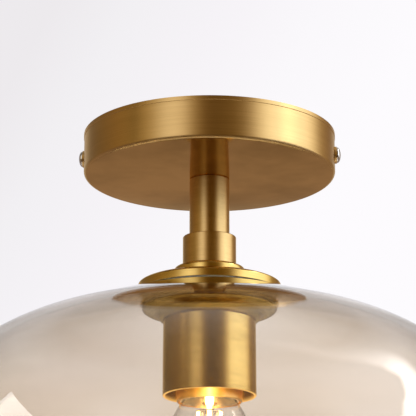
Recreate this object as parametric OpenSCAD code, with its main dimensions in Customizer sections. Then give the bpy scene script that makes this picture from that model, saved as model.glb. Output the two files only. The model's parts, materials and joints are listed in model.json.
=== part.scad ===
// Glass ceiling light.
// A flat round canopy hangs from a strap bracket and carries a turned stem. The stem ends in two
// dishes that clamp the seat of a wide tinted glass shade, and in an open socket cup with a clear
// filament bulb. The origin is the centre of the ceiling plane and the light hangs towards -Z.

/* [Ceiling bracket] */
// Width of the steel strap
bracket_w = 20; // [16:1:26]
// Thickness of the strap
bracket_t = 1.5; // [1:0.1:2]
// Outside bend radius of the ears
bend_r = 3; // [2.5:0.1:5]
// Free space between the ears and the canopy wall
ear_gap = 1; // [0.6:0.1:2]
// Depth of the ears below the ceiling
ear_h = 16; // [15.5:0.1:17]
// Distance between the centres of the two ceiling slots
slot_spacing = 88; // [86:1:90]
// Length of each ceiling slot
slot_len = 12; // [8:0.5:13]
// Width of each ceiling slot
slot_w = 4.5; // [3.5:0.1:5.5]
// Diameter of the wire hole in the middle of the strap
wire_hole_d = 12; // [8:0.5:14]

/* [Canopy] */
// Outside diameter
canopy_d = 120; // [112:1:140]
// Height from the ceiling to the edge of the underside
canopy_h = 20; // [20:0.5:40]
// How far the middle of the underside is bowed down below its edge
canopy_bow = 1.5; // [0.5:0.1:2.5]
// Wall of the pressed shell
canopy_wall = 1; // [0.8:0.1:1.5]
// Radius of the lower outside edge
canopy_edge_r = 1.8; // [1.6:0.1:3]
// Height of the beaded band along the upper rim
bead_h = 2; // [1:0.1:3]
// How far the band stands proud of the side wall
bead_out = 0.2; // [0.1:0.05:0.4]

/* [Side screws] */
// Distance of the screw axis below the ceiling
side_screw_drop = 10; // [9.5:0.1:12]
// Outside diameter of the thread
side_screw_d = 4; // [3:0.5:5]
// Length of the shank under the head
side_screw_len = 7; // [6.5:0.1:9]
// Diameter of the domed head
side_head_d = 7.5; // [6.5:0.1:9]
// Height of the domed head
side_head_h = 1.9; // [1.4:0.1:2.5]
// Diameter of the washer
side_washer_d = 8.2; // [7:0.1:9]
// Thickness of the washer
side_washer_t = 0.9; // [0.6:0.1:1.2]

/* [Stem] */
// Outside diameter of the threaded tube
tube_d = 9.8; // [8:0.1:10]
// Bore of the threaded tube
tube_bore = 7; // [6:0.1:7.4]
// Diameter of the stem
stem_d = 19; // [17:0.1:22]
// Length of the stem
stem_l = 28.5; // [20:0.1:200]
// Wall of the stem
stem_wall = 1.2; // [0.8:0.1:1.6]
// Diameter of the collar
collar_d = 25.2; // [23.5:0.1:28]
// Height of the collar
collar_h = 14.9; // [10:0.1:20]
// Wall of the collar
collar_wall = 1.4; // [1:0.1:2]
// Diameter of the step ring
ring_d = 33.4; // [29:0.1:36]
// Height of the step ring
ring_h = 5; // [3.5:0.1:7]

/* [Dishes] */
// Diameter of the upper dish
dish_d = 67.1; // [60:0.1:76]
// Height of the upper dish
dish_h = 6.7; // [5.5:0.1:9]
// Height of the upright band at the rim of the upper dish
dish_band_h = 3; // [1.5:0.1:3.5]
// Wall of the two dishes and of the socket cup
spun_wall = 1; // [0.8:0.1:1.2]
// Diameter of the lower dish
flange_d = 64; // [60:0.1:68]
// Height of the lower dish
flange_h = 7.3; // [7:0.1:11]
// Thickness of the clear gasket above the glass
gasket_t = 0.6; // [0.5:0.1:1.5]
// Thickness of the rubber gasket below the glass
pad_t = 0.9; // [0.5:0.1:1.5]

/* [Glass shade] */
// Largest diameter
shade_d = 300; // [270:1:340]
// Thickness of the glass
glass_t = 3; // [2:0.1:4]
// Diameter of the hole in the seat
glass_hole_d = 44; // [38:0.5:46]
// Drop of the shoulder for each millimetre outwards
shoulder_slope = 0.32; // [0.28:0.01:0.36]
// Radius at which the straight shoulder turns into the curved side
shoulder_r = 80; // [70:1:90]
// Depth of the widest girth below the seat
girth_drop = 100.5; // [90:0.5:120]
// Depth of the open mouth below the widest girth
mouth_drop = 58; // [50:1:66]
// Diameter of the open mouth
mouth_d = 190; // [170:1:210]

/* [Socket cup] */
// Diameter of the cup
cup_d = 43.6; // [40:0.1:48]
// Length of the cup
cup_l = 37.9; // [35:0.1:42]
// Depth to which the cup sits in the lower dish
cup_seat = 1; // [0.5:0.1:1.5]

/* [Lamp holder] */
// Diameter of the brass sleeve
sleeve_d = 30.4; // [30.2:0.1:32]
// How far the sleeve reaches below the cup
sleeve_out = 2.9; // [2:0.1:6]
// Wall of the brass sleeve
sleeve_wall = 0.7; // [0.5:0.1:0.8]
// Inside diameter of the lamp thread shell
shell_bore = 27; // [26.8:0.1:27.2]
// Wall of the lamp thread shell
shell_wall = 0.4; // [0.3:0.05:0.5]

/* [Bulb] */
// Diameter of the glass bulb
bulb_d = 60; // [50:1:70]
// Length of the metal cap from the contact to its rim
cap_l = 27; // [26:0.1:28]
// Diameter over the cap thread
cap_d = 26.2; // [25.8:0.1:26.4]
// Half angle of the glass neck
neck_angle = 27.5; // [24:0.5:32]
// Wall of the bulb glass
bulb_wall = 0.7; // [0.5:0.1:1]
// Number of filaments
filament_count = 4; // [2:1:6]
// Length of each filament
filament_l = 38; // [30:1:40]

/* [Wiring] */
// Outside diameter of one insulated lead
lead_d = 1.8; // [1.4:0.1:2.2]
// Distance between the poles of the terminal block
pole_pitch = 7.3; // [6.5:0.1:8]

/* [Hidden] */

// Clearances, and how far a cutter reaches past the faces that it cuts
thread_clear = 0.08;
slip_clear = 0.15;
loose_clear = 0.3;
lead_gap = 0.4;
eps = 0.01;
cut = 1;

// Facets of round surfaces and points on drawn arcs
$fn = 96;
arc_n = 10;

// Radii used by several pieces
tube_r = tube_d / 2;
tube_hole_r = tube_r + slip_clear;
canopy_r = canopy_d / 2;
dish_r = dish_d / 2;
flange_r = flange_d / 2;
cup_r = cup_d / 2;
ring_r = ring_d / 2;
sleeve_r = sleeve_d / 2;
glass_hole_r = glass_hole_d / 2;
side_screw_r = side_screw_d / 2;
lead_r = lead_d / 2;
dish_hub_r = ring_r + 0.4;

// Levels from the ceiling downwards
z_canopy = -canopy_h;
z_canopy_mid = z_canopy - canopy_bow;
z_stem = z_canopy_mid - stem_l;
z_collar = z_stem - collar_h;
z_ring = z_collar - ring_h;
z_dish = z_ring - dish_h;
z_glass = z_dish - gasket_t;
z_glass_under = z_glass - glass_t;
z_flange = z_glass_under - pad_t;
z_flange_foot = z_flange - flange_h;
z_cup = z_flange_foot + cup_seat;
z_cup_roof = z_cup - spun_wall;
z_cup_mouth = z_cup - cup_l;

// Lamp holder, hung under the roof of the cup
lock_t = 0.8;
holder_roof_t = 3;
holder_room_h = 5.1;
core_t = 2.4;
contact_h = 1.3;
z_holder = z_cup_roof - lock_t;
z_room = z_holder - holder_roof_t;
z_core = z_room - holder_room_h;
z_core_under = z_core - core_t;
z_bulb_tip = z_core_under - contact_h;
z_sleeve_mouth = z_cup_mouth - sleeve_out;
sleeve_bore_r = sleeve_r - sleeve_wall;
core_r = sleeve_bore_r - slip_clear;
holder_side_t = 2.4;
room_r = core_r - holder_side_t;
terminal_x = 7.6;
terminal_w = 4.4;

// Bracket and its threaded ears
bracket_inner_r = canopy_r - canopy_wall;
ear_x = sqrt(pow(bracket_inner_r - ear_gap, 2) - pow(bracket_w / 2, 2));
ear_corner_r = 4;
earth_x = -20;
block_x = 13;
block_w = 3 * pole_pitch;
block_y = 17;
block_h = 11;
block_wire_z = -bracket_t - block_h * 0.6;
z_block = -bracket_t - block_h;
screw_shaft_h = block_h * 0.4;

// Nut on the threaded tube, above the floor of the canopy
nut_af = 14;
nut_h = 4;
washer_r = 9;
tube_over_nut = 2.5;
z_floor = z_canopy_mid + canopy_wall;
z_tube_top = z_floor + lock_t + nut_h + tube_over_nut;

// Outline points of the shade, from the seat hole outwards and down to the mouth
seat_r = dish_r + loose_clear;
shade_r = shade_d / 2;
mouth_r = mouth_d / 2;
z_shoulder = z_glass - shoulder_slope * (shoulder_r - seat_r);
z_girth = z_glass - girth_drop;
z_mouth = z_girth - mouth_drop;
side_pull = 30;
girth_pull = 45;
lower_pull = 0.55;
mouth_pull = 0.18;
side_n = 26;

// Cap and glass of the bulb
cap_r = cap_d / 2;
cap_wall = 0.35;
cap_hole_r = cap_r - 3;
tip_t = 0.8;
insulator_h = 2.8;
insulator_lap = 0.3;
z_cap_rim = z_bulb_tip - cap_l;
z_cap_top = z_bulb_tip - tip_t - insulator_h + insulator_lap;
neck_r = cap_r - cap_wall - slip_clear;
neck_in_cap = 10;
z_neck_top = z_cap_rim + neck_in_cap;
bulb_r = bulb_d / 2;
flare_r = cap_r + 2;
z_flare = z_cap_rim - 3.5;
// The neck cone touches the round end where its own slope matches the sphere
z_bulb_centre = z_flare - (bulb_r - flare_r * cos(neck_angle)) / sin(neck_angle);

// Glass mount and filaments of the bulb
mount_r = 3.6;
mount_l = 12;
z_mount = z_neck_top - mount_l;
filament_ring_r = 5.2;
filament_r = 0.8;
filament_drop = 3;
z_filament_top = z_mount - filament_drop;
z_filament_low = z_filament_top - filament_l;

function arc(x, z, r, a, b, n = arc_n) =
    [for (i = [0:n]) [x + r * cos(a + (b - a) * i / n), z + r * sin(a + (b - a) * i / n)]];

function ellipse_arc(x, z, rx, rz, a, b, n = arc_n) =
    [for (i = [0:n]) [x + rx * cos(a + (b - a) * i / n), z + rz * sin(a + (b - a) * i / n)]];

function bezier(p, n) =
    [for (i = [0:n]) let (t = i / n, s = 1 - t)
        s * s * s * p[0] + 3 * s * s * t * p[1] + 3 * s * t * t * p[2] + t * t * t * p[3]];

function tail(points) = [for (i = [1:len(points) - 1]) points[i]];

function reversed(points) = [for (i = [len(points) - 1:-1:0]) points[i]];

// Points moved sideways by d, square to the line through their neighbours
function shifted(points, d) =
    [for (i = [0:len(points) - 1])
        let (a = points[max(i - 1, 0)], b = points[min(i + 1, len(points) - 1)], t = (b - a) / norm(b - a))
        points[i] + d * [t[1], -t[0]]];

shade_side = concat(
    [[seat_r, z_glass]],
    bezier([[shoulder_r, z_shoulder],
            [shoulder_r + side_pull, z_shoulder - shoulder_slope * side_pull],
            [shade_r, z_girth + girth_pull],
            [shade_r, z_girth]], side_n),
    tail(bezier([[shade_r, z_girth],
                 [shade_r, z_girth - lower_pull * mouth_drop],
                 [mouth_r + lower_pull * (shade_r - mouth_r), z_mouth + mouth_pull * mouth_drop],
                 [mouth_r, z_mouth]], side_n))
);

// Turned solid whose half outline is given as [radius, height] points
module turned(points) {
    rotate_extrude()
        polygon(points);
}

// Flat ring
module disc(r, hole_r, z_low, h) {
    difference() {
        rod(r, z_low, z_low + h);
        bore(hole_r, z_low, z_low + h);
    }
}

// Round solid between two levels
module rod(r, z_low, z_high) {
    translate([0, 0, z_low])
        cylinder(r = r, h = z_high - z_low);
}

// Cutter for a round hole right through the material between two levels
module bore(r, z_low, z_high) {
    rod(r, z_low - cut, z_high + cut);
}

// Cutter for the slot in a screw head whose face looks down at z
module driver_slot(r, w, deep, z) {
    translate([-r - cut, -w / 2, z - cut])
        cube([2 * (r + cut), w, deep + cut]);
}

module along_x(x, z) {
    translate([x, 0, z])
        rotate([0, 90, 0])
            children();
}

// Hexagon nut with both faces chamfered, standing on z_low
module hex_nut(z_low) {
    corner_r = nut_af / 2 / cos(30);
    edge = 0.5;
    difference() {
        intersection() {
            translate([0, 0, z_low])
                cylinder(r = corner_r, h = nut_h, $fn = 6);
            turned([[0, z_low], [corner_r - edge, z_low], [corner_r, z_low + edge],
                    [corner_r, z_low + nut_h - edge], [corner_r - edge, z_low + nut_h],
                    [0, z_low + nut_h]]);
        }
        bore(tube_r + thread_clear, z_low, z_low + nut_h);
    }
}

// Cutter for a long round-ended slot in the strap
module slot(length, width) {
    translate([0, 0, -bracket_t - cut])
        linear_extrude(bracket_t + 2 * cut) {
            square([length - width, width], center = true);
            for (side = [-1, 1])
                translate([side * (length - width) / 2, 0])
                    circle(d = width, $fn = 48);
        }
}

module ceiling_bracket() {
    inner_bend = bend_r - bracket_t;
    strap = concat(
        [[-ear_x, -ear_h]],
        arc(-ear_x + bend_r, -bend_r, bend_r, 180, 90),
        arc(ear_x - bend_r, -bend_r, bend_r, 90, 0),
        [[ear_x, -ear_h], [ear_x - bracket_t, -ear_h]],
        arc(ear_x - bend_r, -bend_r, inner_bend, 0, 90),
        arc(-ear_x + bend_r, -bend_r, inner_bend, 90, 180),
        [[-ear_x + bracket_t, -ear_h]]
    );
    half_w = bracket_w / 2;
    outline = concat(
        [[-half_w, cut], [-half_w, -ear_h + ear_corner_r]],
        arc(-half_w + ear_corner_r, -ear_h + ear_corner_r, ear_corner_r, 180, 270),
        arc(half_w - ear_corner_r, -ear_h + ear_corner_r, ear_corner_r, 270, 360),
        [[half_w, cut]]
    );
    color("#b9bcc0")
        difference() {
            intersection() {
                translate([0, half_w, 0])
                    rotate([90, 0, 0])
                        linear_extrude(bracket_w)
                            polygon(strap);
                translate([-ear_x - cut, 0, 0])
                    rotate([90, 0, 90])
                        linear_extrude(2 * (ear_x + cut))
                            polygon(outline);
            }
            bore(wire_hole_d / 2, -bracket_t, 0);
            for (side = [-1, 1]) {
                translate([side * slot_spacing / 2, 0, 0])
                    slot(slot_len, slot_w);
                along_x(side * ear_x - bend_r, -side_screw_drop)
                    cylinder(r = side_screw_r + thread_clear, h = 2 * bend_r, $fn = 48);
            }
            translate([earth_x, 0, 0])
                bore(side_screw_r + thread_clear, -bracket_t, 0);
        }
}

// Screw and washer that clamp the eye of the earth lead
module earth_screw() {
    head_r = 4;
    head_h = 2.2;
    washer_r_out = head_r + 0.8;
    washer_t = 0.8;
    z_washer = -lead_d - washer_t;
    z_head = z_washer - head_h;
    color("#c9a24a")
        translate([earth_x, 0, -bracket_t])
            difference() {
                union() {
                    rod(side_screw_r, z_washer, bracket_t);
                    rod(washer_r_out, z_washer, -lead_d);
                    rod(head_r, z_head, z_washer);
                }
                driver_slot(head_r, 1, 0.8, z_head);
            }
}

module terminal_block() {
    entry_r = 1.9;
    groove_w = 1.2;
    groove_h = block_h * 0.35;
    color("#eeeae0")
        difference() {
            translate([block_x, -block_y / 2, z_block])
                cube([block_w, block_y, block_h]);
            for (i = [0:2]) {
                x = block_x + pole_pitch * (i + 0.5);
                translate([x, block_y / 2 + cut, block_wire_z])
                    rotate([90, 0, 0])
                        cylinder(r = entry_r, h = block_y + 2 * cut, $fn = 32);
                for (side = [-1, 1])
                    translate([x, side * block_y / 4, z_block - cut])
                        cylinder(r = entry_r, h = screw_shaft_h + cut, $fn = 32);
            }
            for (i = [1:2])
                translate([block_x + pole_pitch * i - groove_w / 2, -block_y / 2 - cut, z_block - cut])
                    cube([groove_w, block_y + 2 * cut, groove_h + cut]);
        }
}

module terminal_screws() {
    screw_r = 1.6;
    sunk = 0.4;
    color("#d8b662")
        for (i = [0:2], side = [-1, 1])
            translate([block_x + pole_pitch * (i + 0.5), side * block_y / 4, z_block + sunk])
                difference() {
                    cylinder(r = screw_r, h = screw_shaft_h - sunk - eps, $fn = 32);
                    driver_slot(screw_r, 0.6, 0.6, 0);
                }
}

// Leads: a round tube swept along a smooth curve through hand-placed points
function spline_at(p, i, t) =
    let (a = p[max(i - 1, 0)], b = p[i], c = p[i + 1], d = p[min(i + 2, len(p) - 1)])
    0.5 * (2 * b + (c - a) * t + (2 * a - 5 * b + 4 * c - d) * t * t + (3 * b - a - 3 * c + d) * t * t * t);

function smooth_route(p, n) =
    concat([for (i = [0:len(p) - 2], k = [0:n - 1]) spline_at(p, i, k / n)], [p[len(p) - 1]]);

function tangents(p) =
    [for (i = [0:len(p) - 1])
        let (v = p[min(i + 1, len(p) - 1)] - p[max(i - 1, 0)])
        v / norm(v)];

function square_to(v, t) = let (w = v - (v * t) * t) w / norm(w);

// One side direction per ring, each carried over from the ring before
function side_vectors(t, last = [0.3, 0.2, 1], done = []) =
    len(done) == len(t) ? done
    : let (next = square_to(last, t[len(done)])) side_vectors(t, next, concat(done, [next]));

module swept_lead(points, steps) {
    sides = 8;
    route = smooth_route(points, steps);
    t = tangents(route);
    u = side_vectors(t);
    n = len(route);
    verts = [for (i = [0:n - 1], k = [0:sides - 1])
        let (v = cross(t[i], u[i]), a = 360 * k / sides)
        route[i] + lead_r * (cos(a) * u[i] + sin(a) * v)];
    walls = [for (i = [0:n - 2], k = [0:sides - 1])
        let (a = i * sides + k, b = i * sides + (k + 1) % sides)
        [a, a + sides, b + sides, b]];
    ends = [[for (k = [0:sides - 1]) k], [for (k = [sides - 1:-1:0]) (n - 1) * sides + k]];
    polyhedron(points = verts, faces = concat(walls, ends), convexity = 6);
}

// Route of a lead from its pole of the terminal block, over the nut and down the tube to its terminal.
// Swing is how far it bows out to the front, and side is the side of the tube that it takes.
function lamp_lead_route(pole, side, swing) =
    let (x = block_x + pole_pitch * (pole + 0.5),
         front_y = -block_y / 2,
         in_x = side * (lead_r + 0.6),
         end_x = terminal_x - terminal_w / 2 - lead_gap,
         terminal_z = z_room - holder_room_h / 2)
    [[x, -block_y / 4 - 1.6, block_wire_z],
     [x, front_y - 1, block_wire_z],
     [x - 2, front_y - 1 - swing * 0.6, block_wire_z],
     [x - 8, front_y - 1 - swing, block_wire_z + 0.5],
     [x - 16, front_y - swing, block_wire_z + 1],
     [4.8, -5 - swing * 0.85, z_tube_top + 4.2],
     [side * 1.3 + 1, -2.2 - swing * 0.2, z_tube_top + 2.4],
     [in_x, -0.2, z_tube_top - 2],
     [in_x, 0, z_tube_top - 12],
     [in_x, 0, z_ring],
     [in_x, 0, z_room + 2],
     [in_x * 1.15, 0, z_room - 0.4],
     [side * (end_x - 0.8), 0, terminal_z],
     [side * end_x, 0, terminal_z]];

module live_lead() {
    color("#7a4a2a")
        swept_lead(lamp_lead_route(2, -1, 7.2), 4);
}

module neutral_lead() {
    color("#3f6ea8")
        swept_lead(lamp_lead_route(1, 1, 0.8), 4);
}

module earth_lead() {
    x = block_x + pole_pitch * 0.5;
    eye_z = -bracket_t - lead_r;
    color("#6f9a3a")
        swept_lead([
            [x, block_y / 4 + 1.6, block_wire_z],
            [x, block_y / 2 + 0.6, block_wire_z],
            [x - 2.5, block_y / 2 + 3.6, block_wire_z + 0.3],
            [x - 9, block_y / 2 + 4.6, block_wire_z + 1],
            [0, 11.5, -6],
            [earth_x + 9, 9, -4.4],
            [earth_x + 4.6, 5.4, eye_z - 0.6],
            [earth_x + 2.2, 3.2, eye_z - 0.06]
        ], 4);
}

// Half outline of a drum whose underside bows down to a flat middle
function bowed_drum(r, z_top, z_low, edge, bow, mid_r) =
    concat([[0, z_top], [r, z_top]],
           arc(r - edge, z_low + edge, edge, 0, -90),
           [for (i = [1:arc_n])
               let (t = i / arc_n)
               [r - edge + (mid_r - r + edge) * t, z_low - bow * t * (2 - t)]],
           [[0, z_low - bow]]);

module canopy() {
    inner_edge = canopy_edge_r - canopy_wall;
    mid_r = stem_d / 2 + 6;
    reach = 3;
    color("#b08a4a")
        difference() {
            union() {
                turned(bowed_drum(canopy_r, 0, z_canopy, canopy_edge_r, canopy_bow, mid_r));
                turned([[0, 0], [canopy_r + bead_out, 0], [canopy_r + bead_out, -bead_h + bead_out],
                        [canopy_r, -bead_h], [0, -bead_h]]);
            }
            turned(bowed_drum(canopy_r - canopy_wall, cut, z_canopy + canopy_wall, inner_edge,
                              canopy_bow, mid_r));
            bore(tube_hole_r, z_canopy_mid, z_floor);
            for (side = [-1, 1])
                along_x(side * canopy_r - reach, -side_screw_drop)
                    cylinder(r = side_screw_r + loose_clear, h = 2 * reach, $fn = 48);
        }
}

module canopy_lock_washer() {
    teeth = 16;
    notch_w = 1.2;
    notch_deep = 1;
    color("#c3c5c8")
        difference() {
            disc(washer_r, tube_hole_r, z_floor, lock_t);
            for (i = [0:teeth - 1])
                rotate(360 * i / teeth)
                    translate([washer_r - notch_deep, -notch_w / 2, z_floor - cut])
                        cube([notch_deep + cut, notch_w, lock_t + 2 * cut]);
        }
}

module canopy_nut() {
    color("#c8a860")
        hex_nut(z_floor + lock_t);
}

module threaded_tube() {
    color("#c8cacc")
        disc(tube_r, tube_bore / 2, z_room, z_tube_top - z_room);
}

module stem_tube() {
    r = stem_d / 2;
    edge = 0.4;
    color("#a47a38")
        turned([[r - stem_wall, z_canopy_mid], [r - edge, z_canopy_mid], [r, z_canopy_mid - edge],
                [r, z_stem + edge], [r - edge, z_stem], [r - stem_wall, z_stem]]);
}

// Two plain bushes that centre the stem on the threaded tube
module stem_bushes() {
    r = stem_d / 2 - stem_wall - slip_clear;
    bush_h = 4;
    color("#9a9da1") {
        disc(r, tube_hole_r, z_canopy_mid - bush_h, bush_h);
        disc(r, tube_hole_r, z_stem, bush_h);
    }
}

module stem_collar() {
    r = collar_d / 2;
    edge = 0.4;
    foot = 0.3;
    roof_t = 3;
    color("#b08840")
        difference() {
            turned(concat([[0, z_collar], [r - foot, z_collar], [r, z_collar + foot]],
                          arc(r - edge, z_stem - edge, edge, 0, 90), [[0, z_stem]]));
            bore(tube_hole_r, z_collar, z_stem);
            rod(r - collar_wall, z_collar - cut, z_stem - roof_t);
        }
}

module step_ring() {
    edge = 1.6;
    foot = 0.4;
    spigot_h = 1.5;
    spigot_r = collar_d / 2 - collar_wall - slip_clear;
    color("#b08840")
        difference() {
            turned(concat([[0, z_ring], [ring_r - foot, z_ring], [ring_r, z_ring + foot]],
                          arc(ring_r - edge, z_collar - edge, edge, 0, 90),
                          [[spigot_r, z_collar], [spigot_r, z_collar + spigot_h], [0, z_collar + spigot_h]]));
            bore(tube_hole_r, z_ring, z_collar + spigot_h);
        }
}

// Half outline of the upper dish: flat hub, elliptical dome and upright rim band
function dish_outline(r, z_low, band_top, rise) =
    let (hub_a = acos(dish_hub_r / r))
    concat([[0, z_low], [r, z_low]],
           ellipse_arc(0, band_top, r, rise, 0, hub_a, 24),
           [[0, band_top + rise * sin(hub_a)]]);

module upper_dish() {
    band_top = z_dish + dish_band_h;
    dome_rise = (z_ring - band_top) / sin(acos(dish_hub_r / dish_r));
    inner_rise = dome_rise - spun_wall;
    color("#a88440")
        difference() {
            turned(dish_outline(dish_r, z_dish, band_top, dome_rise));
            turned(dish_outline(dish_r - spun_wall, z_dish - cut, band_top, inner_rise));
            bore(tube_hole_r, z_dish, z_ring);
        }
}

module upper_gasket() {
    r = dish_r - 1.3;
    gasket_w = 5.2;
    color("#e8e4dc")
        disc(r, r - gasket_w, z_glass, gasket_t);
}

module glass_shade() {
    inner = shifted(shade_side, glass_t);
    lip = glass_t / 2;
    last = shade_side[len(shade_side) - 1];
    last_inner = inner[len(inner) - 1];
    lip_centre = (last + last_inner) / 2;
    across = (last - last_inner) / norm(last - last_inner);
    lip_arc = [for (i = [1:arc_n - 1])
        let (a = 180 * i / arc_n)
        lip_centre + lip * (cos(a) * across + sin(a) * [across[1], -across[0]])];
    corner_w = 2;
    under_corner_r = seat_r - 0.6;
    inner_body = [for (p = inner) if (p[0] > seat_r + corner_w) p];
    color([0.80, 0.70, 0.60, 0.45])
        turned(concat([[glass_hole_r, z_glass_under], [glass_hole_r, z_glass]], shade_side, lip_arc,
                      reversed(inner_body), [[under_corner_r, z_glass_under]]));
}

module lower_gasket() {
    edge_in = 1.2;
    hole_over = 2;
    color("#d8d4cc")
        disc(flange_r - edge_in, glass_hole_r + hole_over, z_flange, pad_t);
}

// Nylon disc that fills the hole of the glass and keeps it centred on the tube
module centring_disc() {
    color("#e9e6df")
        disc(glass_hole_r - loose_clear, tube_hole_r, z_flange, pad_t + glass_t - loose_clear);
}

// Half outline of the lower dish: rounded lip and a cove down to the cup
function flange_outline(r, z_top, foot_r, z_low) =
    let (edge = 0.5, lip_w = 5.3, lip_t = 2.6, lip_z = z_top - 0.7,
         cove_r = r - lip_w - 0.2, cove_z = lip_z - lip_t - 0.1)
    concat([[0, z_top], [r - edge, z_top], [r, z_top - edge]],
           ellipse_arc(r - lip_w, lip_z, lip_w, lip_t, 0, -90, 8),
           bezier([[cove_r, cove_z], [foot_r + 1.7, cove_z - 0.3],
                   [foot_r + 2.1, z_low + 0.6], [foot_r, z_low]], 10),
           [[0, z_low]]);

// Hollow casting with a recess at its foot that takes the top of the cup
module lower_dish() {
    recess_r = cup_r + slip_clear;
    foot_w = 0.5;
    roof_t = 1.4;
    room_r_top = flange_r - 6.8;
    room_r_low = min(room_r_top - 3, recess_r - 1.2);
    room_bend = 1.8;
    room_h = 3.2;
    color("#a88448")
        difference() {
            turned(flange_outline(flange_r, z_flange, recess_r + foot_w, z_flange_foot));
            bore(tube_hole_r, z_flange_foot, z_flange);
            rod(recess_r, z_flange_foot - cut, z_cup);
            turned([[0, z_flange - roof_t], [room_r_top, z_flange - roof_t],
                    [room_r_top, z_flange - room_bend], [room_r_low, z_flange - room_h],
                    [room_r_low, z_cup - eps], [0, z_cup - eps]]);
        }
}

module socket_cup() {
    edge = 0.8;
    lip = 0.3;
    color("#a88850")
        difference() {
            turned(concat([[0, z_cup_mouth], [cup_r - lip, z_cup_mouth], [cup_r, z_cup_mouth + lip]],
                          arc(cup_r - edge, z_cup - edge, edge, 0, 90), [[0, z_cup]]));
            rod(cup_r - spun_wall, z_cup_mouth - cut, z_cup_roof);
            bore(tube_hole_r, z_cup_roof, z_cup);
        }
}

module cup_lock_washer() {
    color("#c3c5c8")
        disc(washer_r, tube_hole_r, z_holder, lock_t);
}

module holder_cap() {
    color("#efece6")
        difference() {
            rod(core_r, z_core, z_holder);
            bore(tube_r + thread_clear, z_core, z_holder);
            rod(room_r, z_core - cut, z_room);
        }
}

module holder_core() {
    color("#efece6")
        rod(core_r, z_core_under, z_core);
}

module holder_sleeve() {
    rim_roll = 0.3;
    color("#c09850")
        turned([[sleeve_bore_r, z_holder], [sleeve_r, z_holder], [sleeve_r, z_sleeve_mouth + rim_roll],
                [sleeve_r - rim_roll, z_sleeve_mouth], [sleeve_bore_r, z_sleeve_mouth]]);
}

module screw_shell() {
    z_low = z_sleeve_mouth + 2.4;
    color("#c8a050")
        disc(shell_bore / 2 + shell_wall, shell_bore / 2, z_low, z_core_under - z_low);
}

// Sprung tongue that presses on the middle of the bulb cap
module centre_contact() {
    leaf_w = 5;
    leaf_t = 0.4;
    leaf_l = 6.4;
    root_w = 3;
    bend_x = -3.4;
    z_leaf = z_bulb_tip + eps;
    color("#d0a850") {
        translate([bend_x + leaf_t - root_w, -leaf_w / 2, z_core_under - leaf_t])
            cube([root_w, leaf_w, leaf_t]);
        translate([bend_x, -leaf_w / 2, z_leaf])
            cube([leaf_t, leaf_w, z_core_under - z_leaf]);
        translate([bend_x, -leaf_w / 2, z_leaf])
            cube([leaf_l, leaf_w, leaf_t]);
    }
}

// Two screw terminals on the insulating core
module holder_terminals() {
    screw_r = 1.3;
    terminal_l = 4.8;
    terminal_t = holder_room_h * 0.6;
    screw_h = holder_room_h - 0.5;
    color("#cfa552")
        for (side = [-1, 1])
            translate([side * terminal_x, 0, z_core]) {
                translate([-terminal_w / 2, -terminal_l / 2, 0])
                    cube([terminal_w, terminal_l, terminal_t]);
                cylinder(r = screw_r, h = screw_h, $fn = 32);
            }
}

module side_washer(side) {
    color("#b8934c")
        along_x(side > 0 ? canopy_r : -canopy_r - side_washer_t, -side_screw_drop)
            difference() {
                cylinder(r = side_washer_d / 2, h = side_washer_t, $fn = 64);
                translate([0, 0, -cut])
                    cylinder(r = side_screw_r + slip_clear, h = side_washer_t + 2 * cut, $fn = 48);
            }
}

// Domed screw, drawn with its head towards +X and turned round for the other side
module side_screw(side) {
    head_r = side_head_d / 2;
    brim = 0.3;
    point = 0.4;
    seat_x = canopy_r + side_washer_t;
    color("#dfe0e2")
        rotate(side > 0 ? 0 : 180)
            translate([seat_x, 0, -side_screw_drop])
                rotate([0, 90, 0])
                    turned(concat([[0, -side_screw_len], [side_screw_r - point, -side_screw_len],
                                   [side_screw_r, -side_screw_len + point], [side_screw_r, 0], [head_r, 0]],
                                  ellipse_arc(0, brim, head_r, side_head_h - brim, 0, 90, 8)));
}

function bulb_outline(wall) =
    concat([[neck_r - wall, z_neck_top], [neck_r - wall, z_cap_rim + 2],
            [neck_r - wall + 0.7, z_cap_rim - 0.1], [flare_r - wall, z_flare]],
           arc(0, z_bulb_centre, bulb_r - wall, neck_angle, -90, 30));

module bulb_contact() {
    face_r = 3.4;
    foot_r = 4.8;
    color("#b9bbbd")
        turned([[0, z_bulb_tip], [face_r, z_bulb_tip], [foot_r, z_bulb_tip - tip_t],
                [0, z_bulb_tip - tip_t]]);
}

module bulb_insulator() {
    top_r = 5.2;
    z_top = z_bulb_tip - tip_t;
    color("#24211f")
        turned([[0, z_top], [top_r, z_top], [cap_hole_r, z_top - insulator_h], [0, z_top - insulator_h]]);
}

module bulb_cap() {
    rim_r = cap_r + 0.6;
    color("#c7b27a")
        turned([[cap_hole_r, z_cap_top], [cap_r - 1, z_cap_top - 1.4], [cap_r, z_cap_top - 2.4],
                [cap_r, z_cap_rim + 1.6], [rim_r, z_cap_rim], [rim_r - cap_wall, z_cap_rim],
                [cap_r - cap_wall, z_cap_rim + 1.8], [cap_r - cap_wall, z_cap_top - 2.6],
                [cap_r - 1.4, z_cap_top - 1.9], [cap_hole_r, z_cap_top - 0.4]]);
}

module bulb_glass() {
    color([0.92, 0.92, 0.9, 0.35])
        turned(concat(bulb_outline(0), reversed(bulb_outline(bulb_wall))));
}

// Pressed glass mount: a flared skirt sealed to the neck, then a solid rod
module bulb_stem() {
    skirt_r = neck_r - bulb_wall - slip_clear;
    color([0.9, 0.92, 0.9, 0.4])
        turned([[0, z_neck_top], [skirt_r, z_neck_top], [skirt_r, z_neck_top - 1.4],
                [mount_r + 1.6, z_neck_top - 4], [mount_r, z_neck_top - 7], [mount_r, z_mount + 1.2],
                [mount_r - 1.2, z_mount], [0, z_mount]]);
}

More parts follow.
